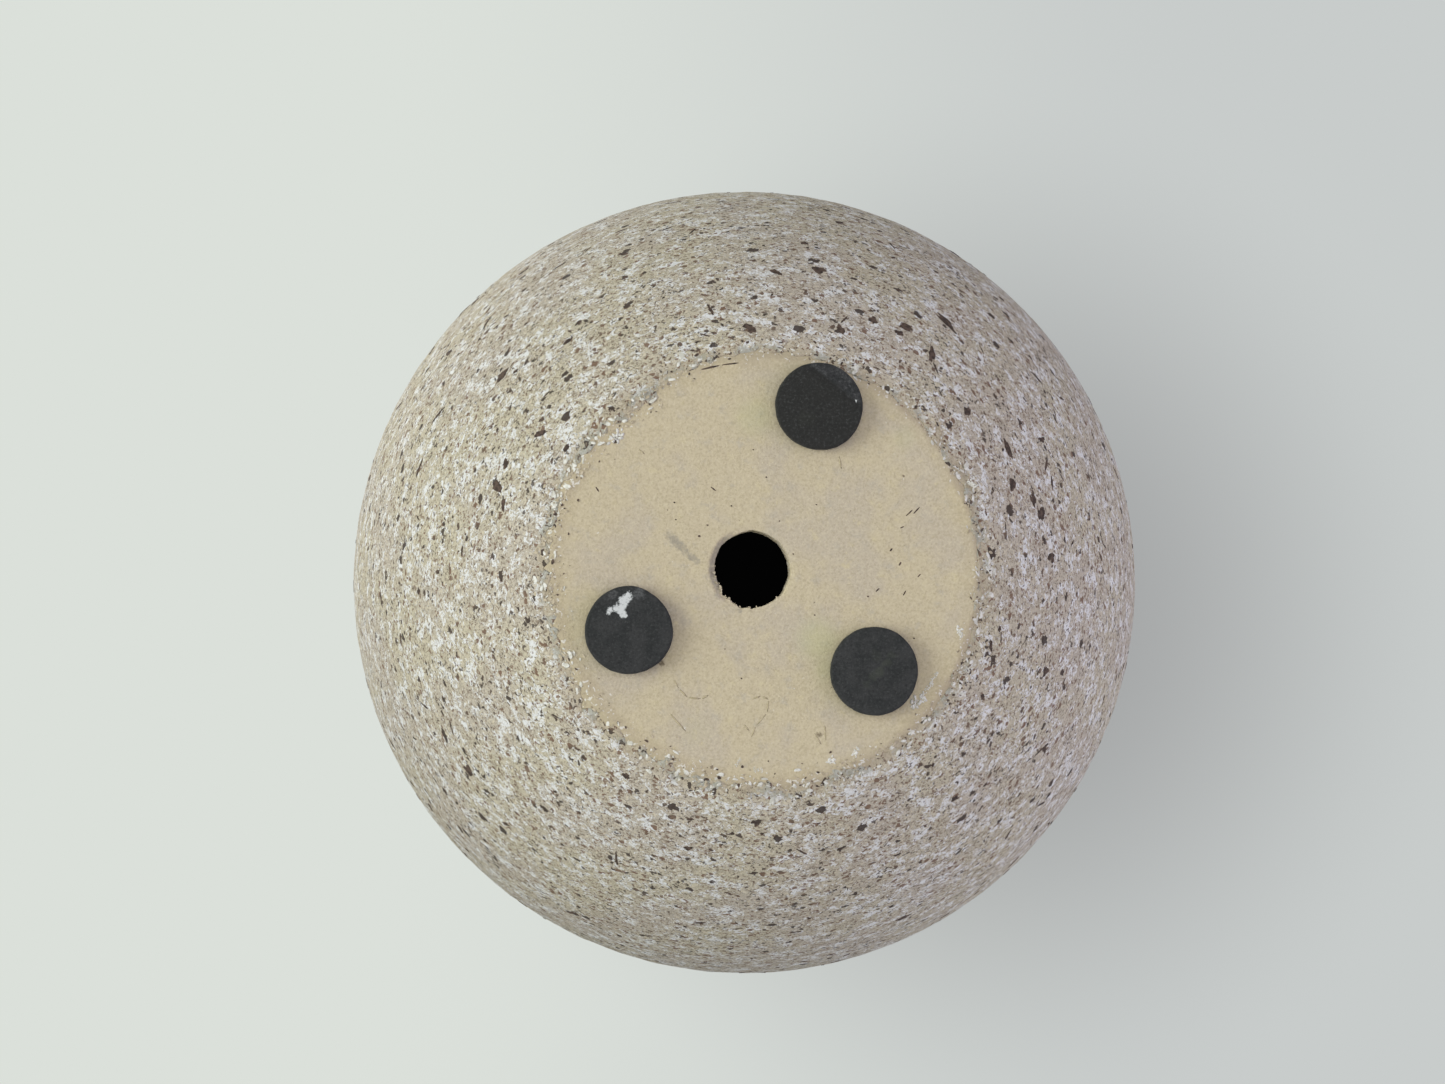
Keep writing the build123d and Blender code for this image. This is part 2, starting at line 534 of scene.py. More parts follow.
dark_mineral = grain_finish("dark_mineral_grains", "#423832", "#5E4F44")
white_mineral = grain_finish("white_mineral_grains", "#CBC9BD", "#E2E1D8")
sand_mineral = grain_finish("sand_mineral_grains", "#A99D86", "#C3B79F")
soil = grain_finish("rubbed_in_soil", "#B2A686", "#BDB192")

# %% [markdown]
# ## Finish: die-cut foam
#
# The feet are closed-cell EVA foam, punched out of a sheet. It is charcoal and dull, with a very fine
# cell grain and a faint sheen at a glancing angle. What has rubbed off on it is painted on as an
# attribute: red is chalk, green is grey dust, blue is a greenish rub, and alpha is the foam's tone. On the
# creased foot, green and alpha also hold painted light: the bent part beyond the crease is painted lighter.

# %% Foam
SCUFFS = "scuffs"

foam, tree, output, place = fresh("eva_foam_die_cut")
cells = add(tree, "ShaderNodeTexVoronoi", {"Vector": place, "Scale": 1 / (0.28 * MM)})
mottle = add(tree, "ShaderNodeTexNoise", {"Vector": place, "Scale": 1 / (2.2 * MM), "Detail": 3.0})
fuzz = {"Vector": place, "Scale": 1 / (0.42 * MM), "Detail": 4.0, "Roughness": 0.75}
fuzz = add(tree, "ShaderNodeTexNoise", fuzz)
scuffs = add(tree, "ShaderNodeAttribute", attribute_name=SCUFFS)
scuff = add(tree, "ShaderNodeSeparateColor", {0: scuffs.outputs["Color"]})
chalky = add(tree, "ShaderNodeMath", {0: fuzz, 1: 1.7, 2: scuff.outputs[0]}, operation="MULTIPLY_ADD")
dust_and_painted_light = add(tree, "ShaderNodeMath", {0: fuzz, 1: 1.2, 2: scuff.outputs[1]}, operation="MULTIPLY_ADD")

foam_colour = layers(tree, linear("#282A29"), [
    ("#333433", mottle, 0.35, 0.65, 1),
    ("#22221E", scuffs.outputs["Alpha"], 1, 0, 0.8),
    ("#474947", fuzz, 0.5, 0.7, 0.6),
    ("#161716", fuzz, 0.47, 0.32, 0.6),
    ("#6C6E6D", dust_and_painted_light, 0.98, 1.6, 0.7),
    ("#4A5040", scuff.outputs[2], 0, 1, 0.45),
    ("#8E928F", chalky, 1.28, 1.46, 0.7),
    ("#CBCECB", chalky, 1.46, 1.7, 1),
])
height = {0: cells.outputs["Distance"], 1: 0.3, 2: fuzz}
height = add(tree, "ShaderNodeMath", height, operation="MULTIPLY_ADD")
soft = {"Roughness": 0.82, "Specular IOR Level": 0.3, "Sheen Weight": 0.05, "Sheen Roughness": 0.5}
matte_surface(tree, output, foam_colour, height, 0.05 * MM, soft)
print(foam.name, "has", len(tree.nodes), "nodes")

# %% The pads' adhesive: a thin clear-brown film, streaked where it was pressed
adhesive, tree, output, place = fresh("acrylic_adhesive_film")
streak = add(tree, "ShaderNodeTexNoise", {"Vector": place, "Scale": 1 / (1.5 * MM), "Detail": 2.0})
film = layer(tree, linear("#6F6753"), linear("#8C8267"), streak, 0.35, 0.65)
matte_surface(tree, output, film, streak, 0.02 * MM, {"Roughness": 0.45, "Specular IOR Level": 0.4})

# %% [markdown]
# ## The clay body
#
# The body is one closed shell, so its outline runs all the way round: across the base, up the outside
# of the ball, over the lip, down the inside, across the floor and down the wall of the drain hole. It
# is spun with the hole at the centre. The hole is really a little off centre, so afterwards the points
# near it slide sideways, less and less with distance, which keeps the rings even.

# %% Spin the clay body
CLAY_STEPS = 360
RIM_BAND = 2.4 * MM
ball_z = CENTRE.z
corner_z = BASE_Z + BASE_CORNER
corner_x = sqrt((CLAY_RADIUS - BASE_CORNER) ** 2 - (ball_z - corner_z) ** 2)
corner_end = atan2(corner_z - ball_z, corner_x)
lip_angle = atan2(LIP_Z - ball_z, LIP_X)
floor_corner_z = FLOOR_Z + FLOOR_CORNER
floor_corner_x = sqrt((CAVITY_RADIUS - FLOOR_CORNER) ** 2 - (ball_z - floor_corner_z) ** 2)
floor_corner_start = atan2(floor_corner_z - ball_z, floor_corner_x)


def straight(x0, z0, x1, z1, count):
    """Evenly spaced points from one place up to, but not including, another."""
    return [(x0 + (x1 - x0) * i / count, z0 + (z1 - z0) * i / count) for i in range(count)]


clay_outline = straight(DRAIN_RADIUS, BASE_Z, DRAIN_RADIUS + RIM_BAND, BASE_Z, 12)
clay_outline += straight(DRAIN_RADIUS + RIM_BAND, BASE_Z, corner_x, BASE_Z, 46)
clay_outline += arc(corner_x, corner_z, BASE_CORNER, -pi / 2, corner_end, 6)[:-1]
clay_outline += arc(0, ball_z, CLAY_RADIUS, corner_end, lip_angle, 40)[:-1]
clay_outline += arc(LIP_X, LIP_Z, LIP_RADIUS, lip_angle, lip_angle + pi, 10)[:-1]
clay_outline += arc(0, ball_z, CAVITY_RADIUS, lip_angle, floor_corner_start, 56)[:-1]
clay_outline += arc(floor_corner_x, floor_corner_z, FLOOR_CORNER, floor_corner_start, -pi / 2, 8)[:-1]
clay_outline += straight(floor_corner_x, FLOOR_Z, DRAIN_RADIUS, FLOOR_Z, 20)
clay_outline += straight(DRAIN_RADIUS, FLOOR_Z, DRAIN_RADIUS, BASE_Z, 14)
clay_bm = spun(clay_outline, CLAY_STEPS)
print("clay outline has", len(clay_outline), "points")

# %% [markdown]
# The hole was punched through leather-hard clay. Its wall is a little out of round, and it is torn to
# teeth on the side where the punch came out. The rim is rounded over, most of all on the side that was
# bruised. The base itself is nearly flat, with shallow sponge waves, and one pit near its edge.

# %% Move the hole off centre and tear its rim
TOOTH_DEPTH = 0.30 * MM
TORN_DIRECTION = radians(115)
TORN_SPREAD = radians(60)
RIM_ROUNDING = 0.80 * MM
RIM_REACH = 1.0 * MM
RIM_HEIGHT = 3.0 * MM
SLIDE_REACH = 24 * MM
BRUISE_DIRECTION = radians(190)
BRUISE_SPREAD = radians(80)
PIT = Vector((-21.6, -19.5)) * MM
PIT_RADIUS = 0.55 * MM


def tooth(direction):
    """How far the hole's wall stands out or in at a direction, from about -1 to 1."""
    ring = heading(direction, 3.1)
    torn_here = 0.25 + 0.75 * near(direction, TORN_DIRECTION, 0.4 * TORN_SPREAD, TORN_SPREAD)
    fine = 0.9 * noise.noise(ring * 6) + 0.9 * noise.noise(ring * 13)
    return 0.25 + 1.1 * noise.noise(ring * 1.6) + fine * torn_here


def bruise(direction):
    """1 in the middle of the bruised side of the hole, 0 on its other side."""
    return near(direction, BRUISE_DIRECTION, 0.3 * BRUISE_SPREAD, BRUISE_SPREAD)


for vert in clay_bm.verts:
    flat = vert.co.to_2d()
    reach = flat.length
    if reach > corner_x + BASE_CORNER or vert.co.z > FLOOR_Z + 0.1 * MM:
        continue
    direction = atan2(flat.y, flat.x)
    outward = heading(direction)
    near_hole = 1 - rise(0, RIM_REACH, reach - DRAIN_RADIUS)
    near_base = 1 - rise(0, RIM_HEIGHT, vert.co.z - BASE_Z)
    vert.co += outward * (TOOTH_DEPTH * tooth(direction) * near_hole)
    rounding = 0.15 + 0.85 * bruise(direction) * (0.8 + 0.8 * noise.noise(outward * 6))
    vert.co.z += RIM_ROUNDING * rounding * near_hole * near_base
    vert.co += DRAIN * (1 - rise(DRAIN_RADIUS, SLIDE_REACH, reach))
    if abs(vert.co.z - BASE_Z) < 0.01 * MM:
        vert.co.z += 0.035 * MM * wobble(vert.co, 6 * MM) + 0.012 * MM * wobble(vert.co, 1.3 * MM)
        in_pit = 1 - rise(0.2 * PIT_RADIUS, PIT_RADIUS, (vert.co.to_2d() - PIT).length)
        vert.co.z += 0.5 * MM * in_pit

# %% [markdown]
# Marks that belong to one place are painted: a soft brush writes into the four channels of a colour
# attribute. A scrape is a row of dabs. A dab is x, y and radius in millimetres, and its strength.

# %% Paint the marks of use on the base
GREY_DUST_AND_SHADE, DARK_STAIN_AND_SHADE, GREEN_TINT, OVERSPRAY = range(4)
CORNER_TINT_AND_SHADE_FROM = 28.2 * MM
CORNER_TINT_AND_SHADE_FULL = 30.2 * MM
LOOSE_DIRECTION = radians(150)
LOOSE_SPREAD = radians(130)

base_dabs = {
    GREY_DUST_AND_SHADE: [
        (-14, -5.4, 1.5, 0.62), (-13.2, -4.6, 1.6, 0.72), (-12.4, -3.8, 1.6, 0.74), (-11.6, -3, 1.5, 0.66),
        (-10.7, -2.2, 1.5, 0.7), (-9.8, -1.5, 1.3, 0.6), (-6.8, 3.6, 1.3, 0.58), (-7.9, -1.2, 1, 0.5),
        (-7.8, 1.2, 0.9, 0.48), (-3.6, 5.6, 1.1, 0.58), (-5.4, 4.9, 1, 0.52), (-6.3, -3.6, 1, 0.5),
        (-17.5, -0.8, 1, 0.42), (-15.2, 9, 1, 0.5), (-24.5, 1, 1.4, 0.45), (-30.2, -1.5, 1.6, 0.55),
        (-21, -19.7, 1, 0.9), (3.8, 17, 1.2, 0.4),
    ],
    DARK_STAIN_AND_SHADE: [
        (8, 23.7, 1.2, 0.62), (7.6, 24.8, 0.8, 0.5), (-15, 13.3, 1, 0.8), (12.3, -18, 0.9, 0.5),
        (21.8, 12.6, 0.7, 0.4), (8, -17.6, 0.6, 0.45), (15.6, -29.2, 1, 0.5), (-6.2, -29.9, 1.3, 0.45),
    ],
    GREEN_TINT: [
        (7.6, 9.8, 5.2, 0.62), (9.2, 14, 3.2, 0.5), (-1.6, -22.5, 4.6, 0.5), (-22.5, 7, 3, 0.35),
        (20.5, -19.5, 3, 0.4), (-10, 23, 4, 0.25),
    ],
}


def dab_on(channels, dabs, place, core):
    """Adds dabs to the colour channels at a place. Each is full in its core, a share of its radius."""
    for channel, spots in dabs.items():
        for x, y, radius, strength in spots:
            away = (place / MM - Vector((x, y))).length / radius
            channels[channel] = max(channels[channel], strength * (1 - rise(core, 1.0, away)))


def looseness(direction):
    """1 on the side where the spray drifted under the mask, 0 where its edge is crisp."""
    return near(direction, LOOSE_DIRECTION, LOOSE_SPREAD / 2, LOOSE_SPREAD)


def painted(flat):
    """The four mark channels at a place on the base."""
    channels = [0.0, 0.0, 0.0, 0.0]
    dab_on(channels, base_dabs, flat, 0.2)
    at_rim = 1 - rise(DRAIN_RADIUS + 0.5 * MM, DRAIN_RADIUS + 1.2 * MM, (flat - DRAIN.to_2d()).length)
    shaded_bruised_side = bruise(atan2(flat.y - DRAIN.y, flat.x - DRAIN.x))
    # grey dust all round the drain hole, and on its rounded, bruised side more grey and a darker tone as
    # painted shade
    channels[GREY_DUST_AND_SHADE] = max(channels[GREY_DUST_AND_SHADE], at_rim * (0.16 + 0.60 * shaded_bruised_side))
    channels[DARK_STAIN_AND_SHADE] = max(channels[DARK_STAIN_AND_SHADE], at_rim * 0.25 * shaded_bruised_side)
    ragged = 1.5 * MM * noise.noise((flat.x * 260, flat.y * 260, 7))
    spread = (1.4 + 2.8 * looseness(atan2(flat.y, flat.x))) * MM
    channels[OVERSPRAY] = 0.66 * rise(BASE_RADIUS - spread, BASE_RADIUS + 0.6 * MM, flat.length + ragged)
    return channels


def inner_overspray(place):
    """Spray that drifted in through the mouth and settled on the inside below the coat."""
    below_lip = (LIP_Z + LIP_RADIUS - place.z) / MM
    return 0.75 * (1 - rise(8, 24, below_lip + 3 * noise.noise(place * 150)))


paint = clay_bm.verts.layers.float_color.new(MARKS)
corner_tint_and_shade_layer = clay_bm.verts.layers.float.new(CORNER_TINT_AND_SHADE)
for vert in clay_bm.verts:
    on_base = vert.co.z < BASE_Z + 2 * MM
    inside = (vert.co - CENTRE).length < CAVITY_RADIUS + 0.1 * MM and vert.co.z > ball_z
    if on_base:
        vert[paint] = painted(vert.co.to_2d())
        vert[corner_tint_and_shade_layer] = rise(CORNER_TINT_AND_SHADE_FROM, CORNER_TINT_AND_SHADE_FULL, vert.co.to_2d().length)
    elif inside:
        vert[paint] = (0, 0, 0, inner_overspray(vert.co))
bmesh.ops.recalc_face_normals(clay_bm, faces=clay_bm.faces)
made("clay_body", clay_bm, fired_clay, "pot_body")

# %% [markdown]
# ## The coat
#
# The coat is a thin closed skin on the clay. It is spun like the body, but each point knows whether it is
# on the outside of the skin. So the lower edge can be made ragged, thin and crumbly, and the outside
# lumpy, while the inner face stays on the clay.

# %% The shape of the clay under the coat, seen from the ball's centre
corner_from_centre = Vector((corner_x, ball_z - corner_z))
CORNER_DISTANCE = corner_from_centre.length
CORNER_THETA = atan2(corner_x, ball_z - corner_z)
FLAT_THETA = atan2(corner_x, ball_z - BASE_Z)


def clay_reach(theta):
    """Distance from the ball's centre to the outside of the clay, at an angle from straight down."""
    if theta >= CORNER_THETA:
        return CLAY_RADIUS
    if theta <= FLAT_THETA:
        return (ball_z - BASE_Z) / cos(theta)
    turn = theta - CORNER_THETA
    return CORNER_DISTANCE * cos(turn) + sqrt(max(BASE_CORNER**2 - (CORNER_DISTANCE * sin(turn)) ** 2, 0))


# %% Spin the coat
COAT_STEPS = 400
EDGE_THETA = asin((BASE_RADIUS + 0.5 * MM) / CLAY_RADIUS)
EDGE_ZONE = 5 * MM
FINE_ROW = 0.42 * MM
WIDE_ROWS = 150
lip_theta = lip_angle + pi / 2
coat_inside_z = LIP_Z + LIP_RADIUS - COAT_INSIDE
inside_angle = asin((coat_inside_z - ball_z) / (CAVITY_RADIUS - COAT))

# rows of the exposed face: closer together near the ragged lower edge
fine_rows = [EDGE_THETA + (i * FINE_ROW) / CLAY_RADIUS for i in range(12)]
step = (lip_theta - fine_rows[-1]) / WIDE_ROWS
thetas = fine_rows + [fine_rows[-1] + step * (i + 1) for i in range(WIDE_ROWS)]


def from_below(radius, theta):
    """An outline point on the ball, by its radius and its angle from straight down."""
    return (radius * sin(theta), ball_z - radius * cos(theta))


exposed = [from_below(COAT_RADIUS, theta) for theta in thetas[:-1]]
exposed += arc(LIP_X, LIP_Z, LIP_RADIUS + COAT, lip_angle, lip_angle + pi, 14)[:-1]
exposed += arc(0, ball_z, CAVITY_RADIUS - COAT, lip_angle, inside_angle, 9)
hidden = arc(0, ball_z, CAVITY_RADIUS, inside_angle, lip_angle, 4)[:-1]
hidden += arc(LIP_X, LIP_Z, LIP_RADIUS, lip_angle + pi, lip_angle, 8)[:-1]
hidden += [from_below(CLAY_RADIUS, lip_theta + (EDGE_THETA - lip_theta) * i / 30) for i in range(30)]
hidden += [from_below(CLAY_RADIUS, EDGE_THETA)]
on_skin = [1] * len(exposed) + [0] * len(hidden)
coat_bm = spun(exposed + hidden, COAT_STEPS, [("on_skin", on_skin), (THIN, [0] * len(on_skin))])
print("coat outline has", len(exposed), "points outside and", len(hidden), "on the clay")


# %% Rag the edges and roughen the face
def relief(place):
    """How far the coat's face stands from its mean: soft lumps with grit on them."""
    return 0.07 * MM * wobble(place, 3.2 * MM) + 0.05 * MM * noise.noise(place / (1.25 * MM))


OVERLAP = 1.5 * MM
OVERLAP_DIRECTION = radians(-131)
OVERLAP_SPREAD = radians(30)


def ragged_edge(direction):
    """How far the lower edge wanders along the ball, in metres. Positive is upwards, off the base."""
    ring = heading(direction) * BASE_RADIUS
    broad = 1.35 * MM * noise.noise(ring / (7 * MM))
    jagged = 1.3 * MM * noise.noise(ring / (2.2 * MM)) + 1.1 * MM * noise.noise(ring / (1.0 * MM))
    jagged *= 0.45 + 0.55 * looseness(direction)
    return broad + jagged - OVERLAP * near(direction, OVERLAP_DIRECTION, 0, OVERLAP_SPREAD)


def on_ball(theta, direction, radius):
    """A place by its angle from straight down, its direction round the axis and its radius."""
    flat = radius * sin(theta)
    return CENTRE + Vector((flat * cos(direction), flat * sin(direction), -radius * cos(theta)))


def feathered(along):
    """The coat's thickness as a share of the full one, at a distance from its lower edge."""
    return 0.06 + 0.94 * rise(-0.3 * MM, 2.8 * MM, along)


skin = coat_bm.verts.layers.float["on_skin"]
thinness = coat_bm.verts.layers.float[THIN]
for vert in coat_bm.verts:
    from_centre = vert.co - CENTRE
    theta = acos(-from_centre.z / from_centre.length)
    direction = atan2(vert.co.y, vert.co.x)
    outside_ball = from_centre.length > CLAY_RADIUS - 0.1 * MM
    along = (theta - EDGE_THETA) * CLAY_RADIUS
    if outside_ball and along < EDGE_ZONE:
        theta += ragged_edge(direction) * (1 - along / EDGE_ZONE) ** 2 / CLAY_RADIUS
        lift = COAT * feathered(along) if vert[skin] else 0
        lumps = 0.15 * MM * noise.noise(vert.co / (0.75 * MM)) * (1 - rise(0, 4 * MM, along))
        lumps *= rise(-0.4 * MM, 1.2 * MM, along)
        lift += max(lumps, -0.6 * lift) if vert[skin] else 0
        vert.co = on_ball(theta, direction, clay_reach(theta) + lift)
        vert[thinness] = 1 - rise(0.2 * MM, 3.6 * MM, along)
    if vert[skin]:
        inwards = Vector((-vert.co.x, -vert.co.y, 0)).normalized() * 0.4
        outward = from_centre.normalized() if outside_ball else inwards
        vert.co += outward * relief(vert.co)
bmesh.ops.recalc_face_normals(coat_bm, faces=coat_bm.faces)
made("sprayed_coat", coat_bm, spray, "speckle_coat")

# %% [markdown]
# ## Loose chips
#
# Spray clogs and drips, so some chips are far larger than the rest: dark blots of up to four and a half
# millimetres. Each starts as a flat cone of sixteen sides, which is pushed to an uneven outline and laid
# on the coat's face. The largest are placed one by one, and the others fall anywhere. Two in five of those
# are slivers.

# %% A blot
BLOT_THICK = 0.07 * MM


def laid(theta, direction, lift):
    """A place on the coat's face, raised by a little."""
    nominal = on_ball(theta, direction, COAT_RADIUS)
    return nominal + (nominal - CENTRE).normalized() * (relief(nominal) + lift)


def add_blot(bm, theta, direction, length, width, turn):
    """A flat chip with an uneven outline. Turn 0 lies up the ball, a quarter turn lies round it."""
    seed = random.uniform(0, 50)
    disc = {"cap_ends": True, "cap_tris": True, "segments": 16, "radius1": 1, "radius2": 0.84, "depth": 1}
    blot = bmesh.ops.create_cone(bm, **disc)
    for vert in blot["verts"]:
        flat = vert.co.to_2d()
        side = Vector((*flat.normalized(), seed)) if flat.length else Vector((0, 0, seed))
        uneven = 1 + 0.6 * noise.noise(side * 1.1) + 0.55 * noise.noise(side * 2.7)
        uneven += 0.35 * noise.noise(side * 6)
        u, v = length / 2 * uneven * flat.x, width / 2 * uneven * flat.y
        along = (u * cos(turn) - v * sin(turn)) / COAT_RADIUS
        around = (u * sin(turn) + v * cos(turn)) / (COAT_RADIUS * sin(theta))
        lift = -0.02 * MM if vert.co.z < 0 else BLOT_THICK
        vert.co = laid(theta + along, direction + around, lift)


# %% Lay the blots on the coat
# degrees up from straight below, degrees round the axis, length and width in mm, turn in degrees
large_blots = [
    (49, -53, 4.6, 1.2, 110), (51, -142, 2.2, 1.7, 90), (41, -52, 2.9, 1.3, 160), (41, -27, 3.5, 1.1, 110),
    (57, 146, 2.4, 1.4, 110), (35, -93, 2.1, 1.5, 120), (41, -162, 2.5, 1.1, 20), (42, -15, 2.3, 1.2, 90),
    (48, -79, 2.1, 1.4, 110), (44, -3, 2, 1.4, 140), (43, -12, 1.9, 1.5, 130), (38, -38, 2, 1.3, 130),
    (37, -72, 2.1, 1, 140), (38, -148, 2.7, 0.8, 140), (46, 19, 1.8, 1, 100), (41, -66, 1.5, 1.2, 10),
    (39, -165, 2.3, 0.7, 70), (39, -101, 2.2, 0.6, 170), (41, -60, 1.5, 0.9, 50), (34, 18, 2, 0.6, 60),
    (42, 105, 1.5, 0.9, 60), (33, -148, 1.3, 0.9, 90), (35, 124, 1.3, 1, 80), (41, -157, 1.6, 1.1, 60),
]
OTHER_BLOTS = 460
SLIVER_LENGTH, SLIVER_WIDTH = 1.5, 0.22  # of a round blot's length

random.seed(41)
blot_bm = bmesh.new()
for theta, direction, length, width, turn in large_blots:
    add_blot(blot_bm, radians(theta), radians(direction), length * MM, width * MM, radians(turn))
for number in range(OTHER_BLOTS):
    theta = acos(random.uniform(cos(radians(34)), cos(radians(128))))
    direction = random.uniform(0, tau)
    length = (0.55 + 1.5 * random.random() ** 3) * MM
    width = length * random.uniform(0.3, 0.85)
    if number % 5 < 2:
        length, width = SLIVER_LENGTH * length, SLIVER_WIDTH * length
    turn = random.gauss(pi / 2, 0.6)
    add_blot(blot_bm, theta, direction, length, width, turn)
bmesh.ops.recalc_face_normals(blot_bm, faces=blot_bm.faces)
made("dark_blots", blot_bm, dark_mineral, smooth=False)

# %% [markdown]
# Along the base's edge the masking was rubbed off, which left crumbs of the coat on the bare clay.
# A crumb is a small ball of twenty faces, squashed flat and turned at random. Crumbs come in three
# colours, and lie in clumps, most of them right at the edge. The white ones are the largest.

# %% A crumb
def crumb(bm, place, normal, length, width, thick, turn):
    """A ball of twenty faces, squashed along a surface's normal."""
    lie = normal.to_track_quat("Z", "Y").to_matrix().to_4x4() @ Matrix.Rotation(turn, 4, "Z")
    shape = Matrix.Diagonal((length / 2, width / 2, thick / 2, 1))
    bmesh.ops.create_icosphere(bm, subdivisions=1, radius=1, matrix=Matrix.Translation(place) @ lie @ shape)


def clumped_direction(patchiness):
    """A direction round the axis. The more patchiness, the more the directions gather in clumps."""
    for attempt in range(20):
        direction = random.uniform(0, tau)
        ring = heading(direction, 0.3) * BASE_RADIUS
        if noise.noise(ring / (2.6 * MM)) > random.uniform(-0.6, 0.35) * patchiness:
            return direction
    return direction


# %% Scatter crumbs along the base's edge
for name, material, count, smallest, largest, stray in (
    ("sand_crumbs", sand_mineral, 1700, 0.25, 0.90, 1.0),
    ("white_crumbs", white_mineral, 650, 0.30, 1.50, 0.8),
    ("dark_crumbs", dark_mineral, 280, 0.20, 0.95, 1.3),
):
    bm = bmesh.new()
    for number in range(count):
        direction = clumped_direction(1.3)
        drift = stray * (0.35 + 1.1 * looseness(direction)) * MM
        inwards = abs(random.gauss(0, 0.9)) * drift - random.uniform(0.0, 3.0) * MM
        theta = EDGE_THETA + (ragged_edge(direction) - inwards) / CLAY_RADIUS
        thick = random.uniform(0.06, 0.16) * MM
        skin_here = COAT * feathered(-inwards) if inwards < 0 else 0
        place = on_ball(theta, direction, clay_reach(theta) + skin_here + 0.1 * thick)
        length = (smallest + (largest - smallest) * random.random() ** 2.5) * MM
        width = length * random.uniform(0.3, 0.7)
        crumb(bm, place, (place - CENTRE).normalized(), length, width, thick, random.uniform(0, pi))
    made(name, bm, material, smooth=False)

# %% [markdown]
# The base has marks of its own. Dark dashes and dots are grains that were dragged over the wet clay,
# brown lines are soil rubbed into hairline scratches, and white nicks are where the coat flaked. They
# are crumbs too, drawn out long and thin and half sunk in the surface. The torn side of the drain hole
# has pale flakes standing on it.

# %% Draw the fine marks on the base
BASE_NORMAL = Vector((0, 0, -1))
NICK_STROKES = 26


def stroke(bm, x0, y0, x1, y1, width, proud=0.03):
    """A long thin crumb from one place on the base to another, standing proud, all in mm."""
    start, end = Vector((x0, y0, 0)) * MM, Vector((x1, y1, 0)) * MM
    length = (end - start).length
    along = end - start
    lie = BASE_NORMAL.to_track_quat("Z", "Y").to_matrix().inverted() @ along
    place = (start + end) / 2 + Vector((0, 0, BASE_Z))
    crumb(bm, place, BASE_NORMAL, length, width * MM, 2 * proud * MM, atan2(lie.y, lie.x))


def nick(bm, x0, y0, x1, y1, width):
    """A ragged flake: short strokes laid at random along a line from one place to another, in mm."""
    for number in range(NICK_STROKES):
        share = random.random()
        x = x0 + (x1 - x0) * share + random.gauss(0, width / 4)
        y = y0 + (y1 - y0) * share + random.gauss(0, width / 4)
        turn = random.uniform(0, tau)
        size = width * random.uniform(0.4, 1.0)
        stroke(bm, x, y, x + size * cos(turn), y + size * sin(turn), size * 0.6, 0.06)


dark_dashes = [
    (20.6, -8, 21.8, -9.1, 0.22), (21.7, -8.3, 22.8, -9.5, 0.26), (19.8, -6.3, 20.5, -6.6, 0.22),
    (18.3, -2.9, 18.7, -3.4, 0.28), (19.6, -0.8, 20, -1.4, 0.3), (22.3, 0.9, 22.9, 0.3, 0.22),
    (16.2, 3, 16.8, 2.4, 0.25), (20.2, 3.6, 20.7, 2.7, 0.26), (-7.9, -12.4, -7, -11.7, 0.24),
    (-9.4, -29.4, -6.3, -30.1, 0.3), (-6.4, -30.1, -3, -30.5, 0.26), (-24.6, -12.4, -24, -11.5, 0.3),
]
dark_dots = [
    (-13.1, -10.1, 0.34), (-14.1, -9, 0.3), (-12.9, -7.6, 0.3), (-8.3, -6.8, 0.32), (-1.6, -17.8, 0.26),
    (0.3, -13.8, 0.3), (7.6, -9.8, 0.26), (-4.8, -9.6, 0.3), (2.2, -7.4, 0.28), (4.2, -2.6, 0.3),
    (7.3, 6.3, 0.28), (15.1, 3.6, 0.34), (21.8, 9.7, 0.32), (-3.4, 15.5, 0.3), (0.5, 27.5, 0.36),
    (-9.5, -5.2, 0.44), (-21.7, -19.2, 0.75),
]
soil_lines = [
    [(-13.3, 15.5), (-12.5, 17), (-11.2, 18.3), (-9.2, 18.5), (-8.1, 17.9)],
    [(-1.8, 18.5), (-0.5, 18.1), (0.6, 18.6), (0.3, 20.6), (-1.3, 22.4), (-2, 24.2)],
    [(-18.4, -17.9), (-17.3, -17)], [(8.7, 22.2), (8.9, 24.9)], [(7.1, 23.4), (8.3, 25.3)],
    [(-3.1, 22.2), (-2.2, 23.2)], [(-14, 20.4), (-11.3, 23.4)], [(10.9, -17), (11.3, -14.8)],
]
white_nicks = [
    (-3.7, 27.2, -4.2, 28.3, 0.3), (-1.6, 28.5, -1.4, 29.1, 0.2), (-1.1, 28.6, -0.9, 29.2, 0.2),
    (-0.6, 28.6, -0.4, 29.1, 0.2), (21.4, 19.9, 23, 18.3, 0.95), (22.8, 18.2, 24.6, 16.2, 0.6),
    (24.4, 16, 25.2, 14.9, 0.35), (-22.2, -18.9, -20.7, -20.1, 0.95), (28.4, 8.3, 28.9, 9.3, 0.6),
    (9.3, 27.6, 10.1, 27.2, 0.55), (13, 26.6, 13.6, 26, 0.5), (30, -13.2, 30.6, -12.4, 0.6),
]

bm = bmesh.new()
for dash in dark_dashes:
    stroke(bm, *dash)
for x, y, size in dark_dots:
    stroke(bm, x - size / 2, y, x + size / 2, y + 0.1, size * 0.8, 0.05)
made("dark_dashes", bm, dark_mineral)
bm = bmesh.new()
for line in soil_lines:
    for start, end in zip(line, line[1:]):
        stroke(bm, *start, *end, 0.30, 0.035)
made("soil_lines", bm, soil)
bm = bmesh.new()
for flake in white_nicks:
    nick(bm, *flake)
made("white_nicks", bm, white_mineral)

